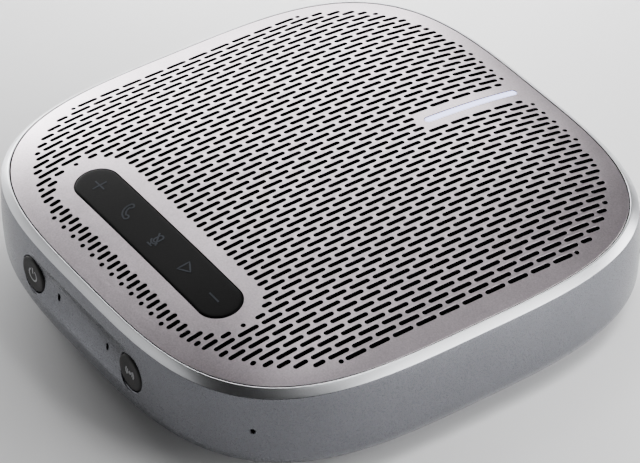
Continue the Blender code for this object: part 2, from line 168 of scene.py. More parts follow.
class Nodes:
    """Builds one material's node tree."""

    def __init__(self, name, colour, roughness, metallic=0.0):
        self.material = bpy.data.materials.new(name)
        self.material.use_nodes = True
        self.tree = self.material.node_tree
        self.shader = self.tree.nodes["Principled BSDF"]
        self.shader.inputs["Base Color"].default_value = (*colour, 1.0)
        self.shader.inputs["Roughness"].default_value = roughness
        self.shader.inputs["Metallic"].default_value = metallic
        self.place = self.node("ShaderNodeTexCoord").outputs["Object"]

    def node(self, kind, **values):
        made = self.tree.nodes.new(kind)
        for name, value in values.items():
            setattr(made, name, value)
        return made

    def link(self, output, target):
        self.tree.links.new(output, target)

    def noise(self, scale, detail=2.0, roughness=0.5, stretch=(1, 1, 1)):
        """Noise whose features are about `scale` millimetres across."""
        mapping = self.node("ShaderNodeMapping")
        mapping.inputs["Scale"].default_value = [value / (scale * MM) for value in stretch]
        self.link(self.place, mapping.inputs["Vector"])
        noise = self.node("ShaderNodeTexNoise")
        noise.inputs["Scale"].default_value = 1.0
        noise.inputs["Detail"].default_value = detail
        noise.inputs["Roughness"].default_value = roughness
        self.link(mapping.outputs["Vector"], noise.inputs["Vector"])
        return noise.outputs["Fac"]

    def ramp(self, factor, stops):
        ramp = self.node("ShaderNodeValToRGB")
        elements = ramp.color_ramp.elements
        elements[0].position, elements[0].color = stops[0][0], (*stops[0][1], 1.0)
        elements[1].position, elements[1].color = stops[-1][0], (*stops[-1][1], 1.0)
        for position, colour in stops[1:-1]:
            elements.new(position).color = (*colour, 1.0)
        self.link(factor, ramp.inputs["Fac"])
        return ramp.outputs["Color"]

    def spread(self, factor, low, high, start=0.3, end=0.7):
        """Maps the factor from start..end to low..high."""
        spread = self.node("ShaderNodeMapRange")
        spread.inputs["From Min"].default_value = start
        spread.inputs["From Max"].default_value = end
        spread.inputs["To Min"].default_value = low
        spread.inputs["To Max"].default_value = high
        self.link(factor, spread.inputs["Value"])
        return spread.outputs["Result"]

    def colour(self, factor, stops):
        self.link(self.ramp(factor, stops), self.shader.inputs["Base Color"])

    def roughness(self, factor, low, high):
        self.link(self.spread(factor, low, high), self.shader.inputs["Roughness"])

    def bump(self, factor, depth, strength=1.0, under=None):
        """Bump of this depth in millimetres, on top of another bump."""
        bump = self.node("ShaderNodeBump")
        bump.inputs["Distance"].default_value = depth * MM
        bump.inputs["Strength"].default_value = strength
        self.link(factor, bump.inputs["Height"])
        if under is not None:
            self.link(under, bump.inputs["Normal"])
        self.link(bump.outputs["Normal"], self.shader.inputs["Normal"])
        return bump.outputs["Normal"]


def shade(colour, share):
    return tuple(value * share for value in colour)


def blasted_metal(name, colour, roughness, grain=0.22, depth=0.012, contrast=0.10):
    """Bead-blasted aluminium: fine pits, and a slight unevenness in the anodising."""
    metal = Nodes(name, colour, roughness, 1.0)
    pits = metal.noise(grain, detail=3.0, roughness=0.6)
    cloud = metal.noise(9.0, detail=2.0)
    mixed = metal.node("ShaderNodeMath", operation="MULTIPLY_ADD")
    metal.link(cloud, mixed.inputs[0])
    mixed.inputs[1].default_value = 0.35
    metal.link(pits, mixed.inputs[2])
    stops = [(0.40, shade(colour, 1 - contrast)), (0.67, colour), (0.95, shade(colour, 1 + contrast))]
    metal.colour(mixed.outputs["Value"], stops)
    metal.roughness(pits, roughness - 0.05, roughness + 0.05)
    metal.bump(pits, depth)
    return metal.material


def moulded_plastic(name, colour, roughness, grain=0.35, depth=0.02, contrast=0.25, specular=0.5):
    """Spark-eroded plastic or silicone: a fine pebble grain with a faint mottle."""
    plastic = Nodes(name, colour, roughness)
    plastic.shader.inputs["Specular IOR Level"].default_value = specular
    pebble = plastic.noise(grain, detail=2.0, roughness=0.55)
    mottle = plastic.noise(6.0, detail=3.0)
    plastic.colour(mottle, [(0.3, shade(colour, 1 - contrast)), (0.7, shade(colour, 1 + contrast))])
    plastic.roughness(pebble, roughness - 0.08, roughness + 0.08)
    plastic.bump(pebble, depth)
    return plastic.material


def turned_metal(name, colour, roughness):
    """Plated or rolled metal with fine drawn lines."""
    metal = Nodes(name, colour, roughness, 1.0)
    lines = metal.noise(0.3, detail=4.0, stretch=(0.08, 1, 1))
    cloud = metal.noise(4.0, detail=3.0)
    metal.colour(cloud, [(0.3, shade(colour, 0.85)), (0.7, shade(colour, 1.1))])
    metal.roughness(lines, roughness - 0.08, roughness + 0.1)
    metal.bump(lines, 0.006)
    return metal.material


def woven(name, colour, thread=0.45, roughness=0.95):
    """Fabric: two crossing waves make the threads, with fibre noise over them."""
    cloth = Nodes(name, colour, roughness)
    cloth.shader.inputs["Specular IOR Level"].default_value = 0.02
    waves = []
    for direction in ("X", "Y"):
        wave = cloth.node("ShaderNodeTexWave", wave_type="BANDS", bands_direction=direction)
        wave.inputs["Scale"].default_value = 0.314 / (thread * MM)
        wave.inputs["Distortion"].default_value = 0.4
        cloth.link(cloth.place, wave.inputs["Vector"])
        waves.append(wave.outputs["Fac"])
    weave = cloth.node("ShaderNodeMath", operation="MULTIPLY")
    cloth.link(waves[0], weave.inputs[0])
    cloth.link(waves[1], weave.inputs[1])
    cloth.colour(weave.outputs["Value"], [(0.0, shade(colour, 0.5)), (1.0, shade(colour, 1.6))])
    under = cloth.bump(weave.outputs["Value"], 0.08)
    cloth.bump(cloth.noise(0.1), 0.02, under=under)
    return cloth.material


def glowing(name, colour, strength):
    """A lit diffuser: an even glow with a faint cloud in the plastic."""
    glow = Nodes(name, colour, 0.35)
    cloud = glow.noise(1.2, detail=2.0)
    stops = [(0.3, shade(colour, 0.93)), (0.7, colour)]
    glow.colour(cloud, stops)
    glow.link(glow.ramp(cloud, stops), glow.shader.inputs["Emission Color"])
    glow.shader.inputs["Emission Strength"].default_value = strength
    return glow.material


def board_material(name):
    """Solder mask with copper tracks showing as a slight relief."""
    board = Nodes(name, (0.01, 0.09, 0.035), 0.4)
    tracks = board.node("ShaderNodeTexVoronoi", feature="DISTANCE_TO_EDGE")
    tracks.inputs["Scale"].default_value = 1 / (2.4 * MM)
    board.link(board.place, tracks.inputs["Vector"])
    stops = [(0.0, (0.02, 0.20, 0.08)), (0.12, (0.008, 0.085, 0.03)), (1.0, (0.006, 0.07, 0.025))]
    board.colour(tracks.outputs["Distance"], stops)
    board.bump(tracks.outputs["Distance"], 0.03)
    return board.material


def paper_material(name, colour):
    """Pressed pulp with short fibres."""
    paper = Nodes(name, colour, 0.85)
    fibres = paper.noise(0.5, detail=5.0, roughness=0.7)
    paper.colour(fibres, [(0.3, shade(colour, 0.6)), (0.7, shade(colour, 1.5))])
    paper.bump(fibres, 0.05)
    return paper.material


def foam_material(name, colour):
    """Open-cell foam."""
    foam = Nodes(name, colour, 0.95)
    cells = foam.node("ShaderNodeTexVoronoi")
    cells.inputs["Scale"].default_value = 1 / (0.6 * MM)
    foam.link(foam.place, cells.inputs["Vector"])
    foam.colour(cells.outputs["Distance"], [(0.0, shade(colour, 0.4)), (0.6, shade(colour, 1.4))])
    foam.bump(cells.outputs["Distance"], 0.15)
    return foam.material


PLATE_METAL = blasted_metal(
    "anodised_plate", (0.575, 0.512, 0.55), 0.34, grain=0.36, depth=0.014, contrast=0.2
)
# Near-black painted shade: the slot walls, the plate's underside and the inner face of the housing's lip get
# it in place of lit metal.
PAINTED_SHADE_BLACK = moulded_plastic(
    "slot_wall_painted_shade", (0.003, 0.003, 0.0032), 0.9, grain=0.15, depth=0.004, specular=0.0
)
HOUSING_METAL = blasted_metal(
    "blasted_housing", (0.192, 0.196, 0.214), 0.28, grain=0.3, depth=0.003, contrast=0.12
)
# A much lighter copy of the housing metal for the chamfer round the top: a painted highlight band.
CHAMFER_HIGHLIGHT_METAL = blasted_metal(
    "chamfer_painted_highlight", (0.70, 0.71, 0.735), 0.34, grain=0.25, depth=0.0, contrast=0.06
)
SILICONE = moulded_plastic("key_silicone", (0.0015, 0.0015, 0.0016), 0.5, specular=0.045)
BUTTON_PLASTIC = moulded_plastic("button_plastic", (0.052, 0.051, 0.051), 0.65, grain=0.25, specular=0.25)
BLACK_PLASTIC = moulded_plastic("black_plastic", (0.022, 0.022, 0.023), 0.55, grain=0.5, depth=0.035)
RUBBER = moulded_plastic("foot_rubber", (0.018, 0.018, 0.018), 0.8, grain=0.6, depth=0.03)
ICON_INK = moulded_plastic(
    "icon_ink", (0.038, 0.043, 0.052), 0.6, grain=0.2, depth=0.005, contrast=0.12, specular=0.05
)
BUTTON_INK = moulded_plastic(
    "button_ink", (0.42, 0.43, 0.44), 0.5, grain=0.2, depth=0.005, contrast=0.1
)
GLOW = glowing("lit_diffuser", (0.52, 0.55, 0.90), 3.2)
DARK_PIPE = moulded_plastic("dark_diffuser", (0.05, 0.05, 0.055), 0.3, grain=0.4, depth=0.004)
CLOTH = woven("acoustic_weave", (0.003, 0.003, 0.0033))
SPIDER_CLOTH = woven("spider_weave", (0.30, 0.20, 0.07), thread=0.6, roughness=0.85)
STEEL = turned_metal("plated_steel", (0.56, 0.56, 0.57), 0.34)
COPPER = turned_metal("enamelled_copper", (0.72, 0.30, 0.14), 0.3)
FERRITE = moulded_plastic("sintered_ferrite", (0.045, 0.045, 0.05), 0.6, grain=0.3, depth=0.04)
BOARD = board_material("solder_mask")
PAPER = paper_material("pressed_paper", (0.05, 0.05, 0.053))
FILM = moulded_plastic("battery_film", (0.05, 0.10, 0.28), 0.35, grain=2.5, depth=0.03)
FOAM = foam_material("cell_foam", (0.06, 0.06, 0.065))


# Building blocks

def new_piece(name, build, material, body, sharp_angle=32):
    """Makes an object of a bmesh built in millimetres, riding on a body."""
    bmesh.ops.scale(build, vec=(MM, MM, MM), verts=build.verts)
    mesh = bpy.data.meshes.new(name)
    build.to_mesh(mesh)
    build.free()
    mesh.shade_smooth()
    mesh.set_sharp_from_angle(angle=math.radians(sharp_angle))
    for each in material if isinstance(material, tuple) else (material,):
        mesh.materials.append(each)
    piece = bpy.data.objects.new(name, mesh)
    bpy.context.scene.collection.objects.link(piece)
    if body is not None:
        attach(piece, body)
    return piece


def squircle(half, exponent, steps=OUTLINE_STEPS):
    points = []
    for step in range(steps):
        angle = 2 * math.pi * step / steps
        across, along = math.cos(angle), math.sin(angle)
        radius = half / (abs(across) ** exponent + abs(along) ** exponent) ** (1 / exponent)
        points.append((radius * across, radius * along))
    return points


def stadium(length, width, steps=16, upright=False):
    """Outline of a stadium along X, or along Y where upright."""
    radius = width / 2
    straight = length / 2 - radius
    points = []
    for side in (1, -1):
        for step in range(steps + 1):
            angle = math.radians(-90 + 180 * step / steps)
            points.append((side * (straight + radius * math.cos(angle)), side * radius * math.sin(angle)))
    points = [point for i, point in enumerate(points) if math.dist(point, points[i - 1]) > 1e-6]
    if upright:
        points = [(-y, x) for x, y in points]
    return points


def moved(points, x, y):
    return [(px + x, py + y) for px, py in points]


def refined(points, spacing=1.5):
    """An outline with its long edges divided, so that it can follow the crown."""
    result = []
    for start, end in zip(points, points[1:] + points[:1]):
        pieces = max(1, math.ceil(math.dist(start, end) / spacing))
        for i in range(pieces):
            share = i / pieces
            result.append((start[0] + (end[0] - start[0]) * share, start[1] + (end[1] - start[1]) * share))
    return result


def crown_height(x, y, drop=0.0):
    """Height of the plate's outer face above a point, less a drop."""
    share = (abs(x) ** TOP_EXPONENT + abs(y) ** TOP_EXPONENT) ** (1 / TOP_EXPONENT) / PLATE_HALF
    return TOP - CROWN * (share**2 + share**4) / 2 - drop


def bridge(build, first, second, closed=True, material=0):
    """Faces between two rows of vertices."""
    count = len(first)
    for i in range(count if closed else count - 1):
        j = (i + 1) % count
        build.faces.new((first[i], first[j], second[j], second[i])).material_index = material


def ring_of(build, points, height):
    """A loop of vertices over plan points, at a height that is a number or a function."""
    if not callable(height):
        level = height
        return [build.verts.new((x, y, level)) for x, y in points]
    return [build.verts.new((x, y, height(x, y))) for x, y in points]


def filled(outlines, inner_points=()):
    """Triangles of the area inside the first outline and outside the rest."""
    points, loops = [], []
    for outline in outlines:
        loops.append(list(range(len(points), len(points) + len(outline))))
        points += outline
    points += inner_points
    vectors = [Vector(point) for point in points]
    made, _, faces, origins, _, _ = delaunay_2d_cdt(vectors, [], loops, 2, 1e-5)
    place = {}
    for index, sources in enumerate(origins):
        for source in sources:
            place[source] = index
    return made, faces, [[place[index] for index in loop] for loop in loops]


def slab(outlines, upper, lower, inner_points=(), bevel=0.0, hidden=0):
    """A solid between two heights over a plan area with holes, its upper edges bevelled.

    The walls and the underside get the material whose index is `hidden`.
    """
    made, faces, loops = filled(outlines, inner_points)
    build = bmesh.new()
    top = [build.verts.new((x, y, upper(x, y))) for x, y in made]
    bottom = [build.verts.new((x, y, lower(x, y))) for x, y in made]
    for face in faces:
        build.faces.new([top[index] for index in face])
        build.faces.new([bottom[index] for index in reversed(face)]).material_index = hidden
    for number, loop in enumerate(loops):
        above = [top[index] for index in loop]
        below = [bottom[index] for index in loop]
        if bevel:
            outward = 1 if number == 0 else -1
            edge = ring_of(build, grown(outlines[number], outward * bevel), lambda x, y: upper(x, y) - bevel)
            bridge(build, above, edge)
            for vertex, rim in zip(below, edge):
                vertex.co.x, vertex.co.y = rim.co.x, rim.co.y
                vertex.co.z = lower(rim.co.x, rim.co.y)
            above = edge
        bridge(build, above, below, material=hidden)
    bmesh.ops.recalc_face_normals(build, faces=build.faces)
    return build


def grown(points, amount):
    """An outline moved outward along its normals."""
    count = len(points)
    area = sum(
        points[i][0] * points[(i + 1) % count][1] - points[(i + 1) % count][0] * points[i][1]
        for i in range(count)
    )
    side = 1 if area > 0 else -1
    result = []
    for i, (x, y) in enumerate(points):
        before, after = points[i - 1], points[(i + 1) % count]
        along = Vector((after[0] - before[0], after[1] - before[1]))
        if along.length == 0:
            result.append((x, y))
            continue
        along.normalize()
        result.append((x + side * amount * along.y, y - side * amount * along.x))
    return result


# Grille plate

def slot_outline(x, low, high):
    """A round-ended slot along Y, its lower end at low and its upper end at high."""
    length, width = high - low + 2 * EDGE_BREAK, SLOT_WIDTH + 2 * EDGE_BREAK
    return moved(stadium(max(length, width), width, steps=7, upright=True), x, (low + high) / 2)


def field_limit(x):
    """How far the slots reach along Y from the middle row, at this distance along X."""
    rounded = FIELD_HALF_Y * (1 - (abs(x) / FIELD_HALF_X) ** FIELD_EXPONENT) ** (1 / FIELD_EXPONENT)
    return min(rounded, FIELD_FLAT)


def strip_limit(x):
    """Half height of the plain area round the key strip, at this distance along X."""
    reach = STRIP_OPENING[1] / 2 + STRIP_MARGIN
    beyond = max(abs(x) - STRIP_STRAIGHT, 0)
    if beyond >= reach:
        return 0.0
    return math.sqrt(reach**2 - beyond**2)


def column_slots(column):
    """(low, high) of each slot in one column."""
    x = column * COLUMN_PITCH
    shift = ROW_PITCH / 2 if column % 2 else 0
    limit = field_limit(x)
    plain = strip_limit(x)
    radius = SLOT_WIDTH / 2
    spans = []
    for row in range(-11, 11):
        middle = ROW_START + shift + row * ROW_PITCH
        low = max(middle - SLOT_LENGTH / 2, ROW_START - limit)
        high = min(middle + SLOT_LENGTH / 2, ROW_START + limit)
        if abs(column) <= 1 and middle > BAR_LOW[1]:
            continue
        if abs(column) <= 1:
            high = min(high, BAR_LOW[1] - BAR_MARGIN)
        if abs(column) == 2:
            high = min(high, BAR_TIP_LIMIT)
        if plain > 0 and middle > STRIP_Y:
            low = max(low, STRIP_Y + plain - radius)
        elif plain > 0:
            high = min(high, STRIP_Y - plain + radius)
        if high - low > SLOT_LEAST:
            spans.append((low, high))
    if abs(column) == STRIP_TIP_COLUMN:
        spans.append((STRIP_Y - radius, STRIP_Y + radius))
    for side in (-1, 1):
        if abs(column) in DOT_COLUMNS or (abs(column) == 1 and side < 0):
            spans = [span for span in spans if side * (span[0] + span[1]) / 2 < FIELD_FLAT - 1]
            spans.append((ROW_START + side * DOT_Y - radius, ROW_START + side * DOT_Y + radius))
    return x, spans


def make_grille_plate():
    """The perforated, crowned plate with its openings for the key strip and the light bar."""
    outer = squircle(PLATE_HALF + PLATE_GROWTH, TOP_EXPONENT)
    strip = moved(refined(stadium(*STRIP_OPENING, steps=28)), 0, STRIP_Y)
    bar = stadium(BAR_LENGTH + BAR_CLEARANCE, BAR_WIDTH + BAR_CLEARANCE, upright=True)
    bar = moved(refined(bar), 0, BAR_Y)
    outlines = [outer, strip, bar]
    for column in range(-LAST_COLUMN, LAST_COLUMN + 1):
        x, spans = column_slots(column)
        outlines += [slot_outline(x, low, high) for low, high in spans]
    rings = []
    for inset in (0.5, 1.1, 1.9, 2.8, 3.6):
        rings += squircle(PLATE_HALF - inset, TOP_EXPONENT, 240)
    for inset in (0.5, 1.2, 2.0):
        length, width = (size + 2 * inset for size in STRIP_OPENING)
        rings += moved(stadium(length, width, steps=24), 0, STRIP_Y)
        for step in range(-24, 25):
            rings += [(step, STRIP_Y + side * (STRIP_OPENING[1] / 2 + inset)) for side in (-1, 1)]
    # The slot walls and the underside take material 1, the near-black painted shade.
    build = slab(
        outlines,
        lambda x, y: crown_height(x, y),
        lambda x, y: crown_height(x, y, PLATE_THICK),
        rings,
        bevel=EDGE_BREAK,
        hidden=1,
    )
    plate = new_piece("perforated_plate", build, (PLATE_METAL, PAINTED_SHADE_BLACK), "body")
    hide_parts("grille_plate")


def make_acoustic_cloth():
    """Black cloth stretched under the plate, cut out round the key strip and the light bar."""
    half = PLATE_HALF - 1.4
    drop = PLATE_THICK + 0.35
    outer = squircle(half, TOP_EXPONENT, 160)
    strip = moved(stadium(STRIP_OPENING[0] + 0.8, STRIP_OPENING[1] + 0.8), 0, STRIP_Y)
    bar = moved(stadium(BAR_LENGTH + 0.8, BAR_WIDTH + 0.8, upright=True), 0, BAR_Y)
    grid = []
    for row in range(-26, 27):
        for column in range(-26, 27):
            x, y = 2 * column, 2 * row
            inside = (abs(x) ** TOP_EXPONENT + abs(y) ** TOP_EXPONENT) ** (1 / TOP_EXPONENT)
            near_strip = abs(y - STRIP_Y) < 6.5 and abs(x) < 30
            near_bar = abs(x) < 2.5 and abs(y - BAR_Y) < 14
            if inside < half - 1.5 and not near_strip and not near_bar:
                grid.append((x, y))
    build = slab(
        [outer, strip, bar],
        lambda x, y: crown_height(x, y, drop),
        lambda x, y: crown_height(x, y, drop + 0.25),
        grid,
    )
    area = sum(face.calc_area() for face in build.faces) / 2 * MM * MM
    cloth = new_piece("acoustic_sheet", build, CLOTH, "body")
    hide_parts("acoustic_cloth")


# Housing

def arc(centre, radius, start, end, steps):
    """Points of an arc in the plane of (half width, height), angles in degrees."""
    points = []
    for step in range(steps + 1):
        angle = math.radians(start + (end - start) * step / steps)
        points.append((centre[0] + radius * math.cos(angle), centre[1] + radius * math.sin(angle)))
    return points


def rounded_corners(points, radius, steps=3):
    """Replaces each inner corner of an open line by a small curve."""
    result = [points[0]]
    for before, corner, after in zip(points, points[1:], points[2:]):
        start = Vector(before) - Vector(corner)
        end = Vector(after) - Vector(corner)
        a = Vector(corner) + start.normalized() * min(radius, start.length / 2)
        b = Vector(corner) + end.normalized() * min(radius, end.length / 2)
        for step in range(steps + 1):
            share = step / steps
            middle = a.lerp(Vector(corner), share).lerp(Vector(corner).lerp(b, share), share)
            result.append(tuple(middle))
    result.append(points[-1])
    return result


def wall_half(height):
    """Half width of the outer wall at a height between the chamfer and the widest line."""
    top = RIM_HEIGHT - CHAMFER
    top_half = PLATE_HALF + GROOVE + RIM + CHAMFER
    share = (top - height) / (top - WIDEST_HEIGHT)
    return BODY_HALF - (BODY_HALF - top_half) * (1 - share) ** 2


def wall_exponent(height):
    top = RIM_HEIGHT - CHAMFER
    share = min(max((top - height) / (top - WIDEST_HEIGHT), 0), 1)
    return TOP_EXPONENT + (BODY_EXPONENT - TOP_EXPONENT) * share


def housing_profile():
    """Rings of (half width, height) down the outside and up the inside."""
    lip = PLATE_HALF + GROOVE
    wall_top = RIM_HEIGHT - CHAMFER
    start = [(lip, RIM_HEIGHT - 0.5), (lip, RIM_HEIGHT), (lip + RIM, RIM_HEIGHT)]
    start += [(lip + RIM + CHAMFER, wall_top), (wall_half(wall_top - 1.2), wall_top - 1.2)]
    outer = rounded_corners(start, 0.14)
    height = wall_top - 1.2
    steps = 38
    for step in range(1, steps + 1):
        level = height - (height - WIDEST_HEIGHT) * step / steps
        outer.append((wall_half(level), level))
    for step in range(1, 19):
        angle = math.radians(4 * step)
        half = BODY_HALF - CURL_ACROSS * (1 - math.cos(angle))
        outer.append((half, WIDEST_HEIGHT - CURL_DOWN * math.sin(angle)))
    cover_half = COVER_HIGH[0]
    inner = [
        (cover_half + 0.3, COVER_HIGH[2] + 0.3),
        (cover_half - 2.5, COVER_HIGH[2] + 0.3),
        (cover_half - 2.5, COVER_HIGH[2] + 1.7),
        (WALL_INSIDE - 4.0, COVER_HIGH[2] + 2.1),
        (WALL_INSIDE - 1.0, WIDEST_HEIGHT - 1.2),
        (WALL_INSIDE, WIDEST_HEIGHT + 1.0),
        (WALL_INSIDE, LEDGE_HEIGHT),
        (lip, LEDGE_HEIGHT),
    ]
    return outer + inner


def scoop_depth(x, height):
    """How far the front wall is pressed in between the two buttons."""
    across, up = abs(x) / SCOOP_HALF, abs(height - SCOOP_Z) / SCOOP_RISE
    if across >= 1 or up >= 1:
        return 0.0
    return SCOOP_DEPTH * (1 - across**3) ** 1.5 * (1 - up**2)


def cutter(name, outline, start, end):
    """A prism over a plan outline between two heights, used to cut holes."""
    build = bmesh.new()
    low, high = ring_of(build, outline, start), ring_of(build, outline, end)
    build.faces.new(low)
    build.faces.new(high)
    bridge(build, low, high)
    bmesh.ops.recalc_face_normals(build, faces=build.faces)
    return new_piece(name, build, HOUSING_METAL, None)


def bored(name, radius, start, end, rim=0.0):
    """A round cutter along Z whose outer end flares by `rim`, for an eased edge."""
    build = bmesh.new()
    circle = [(math.cos(2 * math.pi * i / 48), math.sin(2 * math.pi * i / 48)) for i in range(48)]
    levels = [(radius, start), (radius, end - rim), (radius + rim, end), (radius + rim, end + 6)]
    rings = [ring_of(build, [(r * x, r * y) for x, y in circle], level) for r, level in levels]
    build.faces.new(rings[0])
    build.faces.new(rings[-1])
    for first, second in zip(rings, rings[1:]):
        bridge(build, first, second)
    bmesh.ops.remove_doubles(build, verts=build.verts, dist=1e-5)
    bmesh.ops.recalc_face_normals(build, faces=build.faces)
    return new_piece(name, build, HOUSING_METAL, None)


def cut(piece, tool):
    """Cuts the tool from the piece and throws the tool away."""
    modifier = piece.modifiers.new("cut", "BOOLEAN")
    modifier.operation = "DIFFERENCE"
    modifier.solver = "EXACT"
    modifier.object = tool
    bpy.context.view_layer.update()
    graph = bpy.context.evaluated_depsgraph_get()
    mesh = bpy.data.meshes.new_from_object(piece.evaluated_get(graph))
    piece.modifiers.clear()
    piece.data = mesh
    bpy.data.objects.remove(tool)


def make_housing():
    """The metal wall; material 1 is its rim, a lighter copy of the metal as a painted highlight, and 2 the
    inner face of its lip, black as painted shade.
    """
    build = bmesh.new()
    loops, halves = [], []
    for half, height in housing_profile():
        halves.append(half)
        points = squircle(half, wall_exponent(height))
        level = COVER_HIGH[2] < height < RIM_HEIGHT - 0.6
        outside = half > PLATE_HALF + GROOVE - 0.01 and level
        loop = []
        for x, y in points:
            pressed = scoop_depth(x, height) if outside and y < 0 and height < 24 else 0.0
            loop.append(build.verts.new((x, y + pressed, height)))
        loops.append(loop)
    count = len(loops)
    for i in range(count):
        first, second = loops[i], loops[(i + 1) % count]
        lowest = min(first[0].co.z, second[0].co.z)
        material = 1 if lowest > RIM_HEIGHT - CHAMFER - 0.05 else 0
        widest = max(halves[i], halves[(i + 1) % count])
        if lowest > LEDGE_HEIGHT - 0.01 and widest < PLATE_HALF + GROOVE + 0.01:
            material = 2
        bridge(build, first, second, material=material)
    bmesh.ops.recalc_face_normals(build, faces=build.faces)
    # Material 1 is the painted highlight on the rim, material 2 the painted shade inside the lip.
    finishes = (HOUSING_METAL, CHAMFER_HIGHLIGHT_METAL, PAINTED_SHADE_BLACK)
    housing = new_piece("body_shell", build, finishes, "body")

    quarter = math.radians(90)
    for side in (-1, 1):
        hole = bored("button_hole", BUTTON_RADIUS + BORE_GAP, 50, 59.35, rim=0.12)
        hole.rotation_euler = (quarter, 0, 0)
        hole.location = (side * BUTTON_X * MM, 0, BUTTON_Z * MM)
        cut(housing, hole)
        slit = cutter("slit", stadium(*SLIT_SIZE, steps=10, upright=True), 50, 64)
        slit.rotation_euler = (quarter, 0, 0)
        slit.location = (side * SLIT_X * MM, 0, BUTTON_Z * MM)
        cut(housing, slit)
    for angle in (45, 135, 225, 315):
        hole = bored("mic_hole", MIC_RADIUS, 58, 68.55, rim=0.06)
        hole.rotation_euler = (0, quarter, math.radians(angle))
        hole.location = (0, 0, BUTTON_Z * MM)
        cut(housing, hole)
    socket = cutter("usb_hole", stadium(*USB_SIZE, steps=16), 50, 64)
    socket.rotation_euler = (-quarter, 0, 0)
    socket.location = (0, 0, USB_Z * MM)
    cut(housing, socket)
    housing.data.shade_smooth()
    housing.data.set_sharp_from_angle(angle=math.radians(32))
    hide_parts("housing")


# Key strip

def strip_section(steps=6):
    """Section across the strip as (offset, drop) round its rounded upper edges."""
    half = STRIP_OPENING[1] / 2 - STRIP_GAP
    radius = STRIP_ROUND
    points = [(-half, SKIN_DEPTH)]
    for step in range(steps + 1):
        angle = math.radians(180 - 90 * step / steps)
        points.append((-half + radius + radius * math.cos(angle), radius - radius * math.sin(angle)))
    for step in range(1, 12):
        points.append((-half + radius + (2 * half - 2 * radius) * step / 12, 0.0))
    for step in range(steps + 1):
        angle = math.radians(90 - 90 * step / steps)
        points.append((half - radius + radius * math.cos(angle), radius - radius * math.sin(angle)))
    points.append((half, SKIN_DEPTH))
    return points


def make_half_key(name, key, start, end, still, moving):
    """The strip's skin between two places along X."""
    build = bmesh.new()
    half = STRIP_OPENING[1] / 2 - STRIP_GAP
    tip = STRIP_OPENING[0] / 2 - STRIP_GAP
    straight = tip - half
    section = strip_section()
    rings = []
    steps = 14
    for step in range(steps + 1):
        x = start + (end - start) * step / steps
        rings.append([(x, STRIP_Y + offset, drop) for offset, drop in section])
    rounded = abs(start) > straight or abs(end) > straight
    if rounded:
        rings = []
        outermost = max(start, end, key=abs)
        side = 1 if outermost > 0 else -1
        inner = start if outermost == end else end
        for step in range(7):
            x = inner + (side * straight - inner) * step / 6
            rings.append([(x, STRIP_Y + offset, drop) for offset, drop in section])
        for step in range(1, 13):
            turn = math.radians(90 * step / 12)
            row = []
            for offset, drop in section:
                x = side * (straight + abs(offset) * math.sin(turn))
                row.append((x, STRIP_Y + offset * math.cos(turn), drop))
            rings.append(row)
    loops = []
    for row in rings:
        loop = []
        for x, y, drop in row:
            height = crown_height(x, y, STRIP_DROP + drop)
            if drop == SKIN_DEPTH:
                height = KEY_UNDERSIDE
            loop.append(build.verts.new((x, y, height)))
        loops.append(loop)
    for first, second in zip(loops, loops[1:]):
        bridge(build, first, second, closed=True)
    build.faces.new(loops[0])
    if not rounded:
        build.faces.new(loops[-1])
    bmesh.ops.remove_doubles(build, verts=build.verts, dist=1e-4)
    bmesh.ops.recalc_face_normals(build, faces=build.faces)
    skin = new_piece(name, build, SILICONE, None)
    start, end = ((x * MM, STRIP_Y * MM, BEND_HEIGHT) for x in (still, moving))
    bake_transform(skin)
    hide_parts("key_" + key)


def make_key_strip():
    for index, key in enumerate(KEYS):
        middle = (index - 2) * KEY_PITCH
        calm = 2.5
        for side, label in ((-1, "left"), (1, "right")):
            edge = middle + side * KEY_PITCH / 2
            if abs(edge) > 2.4 * KEY_PITCH:
                edge = side * (STRIP_OPENING[0] / 2 - STRIP_GAP)
            start, end = sorted((middle, edge))
            make_half_key(f"keypad_{key}_{label}", key, start, end, edge, middle + side * calm)
        build = bmesh.new()
        foot, root = FIRST_KEY_LOW[2], KEY_UNDERSIDE + 0.3
        profile = [(0, foot), (PLUNGER_RADIUS - 0.15, foot), (PLUNGER_RADIUS, foot + 0.15)]
        profile += [(PLUNGER_RADIUS, root), (0, root)]
        turned(build, profile, 32, (middle, STRIP_Y, 0))
        bmesh.ops.recalc_face_normals(build, faces=build.faces)
        new_piece("plunger_" + key, build, SILICONE, key + "_key")


# Icons

def ribbon(points, width, closed=False):
    """Outline pairs along a line: left and right edges of a stroke."""
    count = len(points)
    left, right = [], []
    for i, point in enumerate(points):
        before = points[i - 1] if i or closed else point
        after = points[(i + 1) % count] if i < count - 1 or closed else point
        along = Vector((after[0] - before[0], after[1] - before[1])).normalized()
        across = Vector((-along.y, along.x)) * width / 2
        left.append((point[0] + across.x, point[1] + across.y))
        right.append((point[0] - across.x, point[1] - across.y))
    return left, right


def stroke(build, points, width, lift, closed=False, thick=0.12):
    """A thin raised line; `lift` gives the place in space of a point of the drawing."""
    left, right = ribbon(points, width, closed)
    rows = []
    for side, depth in ((left, 0), (right, 0), (right, thick), (left, thick)):
        rows.append([build.verts.new(lift(x, y, depth)) for x, y in side])
    for first, second in zip(rows, rows[1:] + rows[:1]):
        bridge(build, first, second, closed)
    if not closed:
        for end in (0, -1):
            build.faces.new([row[end] for row in rows])


def line(start, end, steps=4):
    return [
        (start[0] + (end[0] - start[0]) * i / steps, start[1] + (end[1] - start[1]) * i / steps)
        for i in range(steps + 1)
    ]


def circle_arc(centre, radius, start, end, steps=14):
    points = []
    for step in range(steps + 1):
        angle = math.radians(start + (end - start) * step / steps)
        points.append((centre[0] + radius * math.cos(angle), centre[1] + radius * math.sin(angle)))
    return points


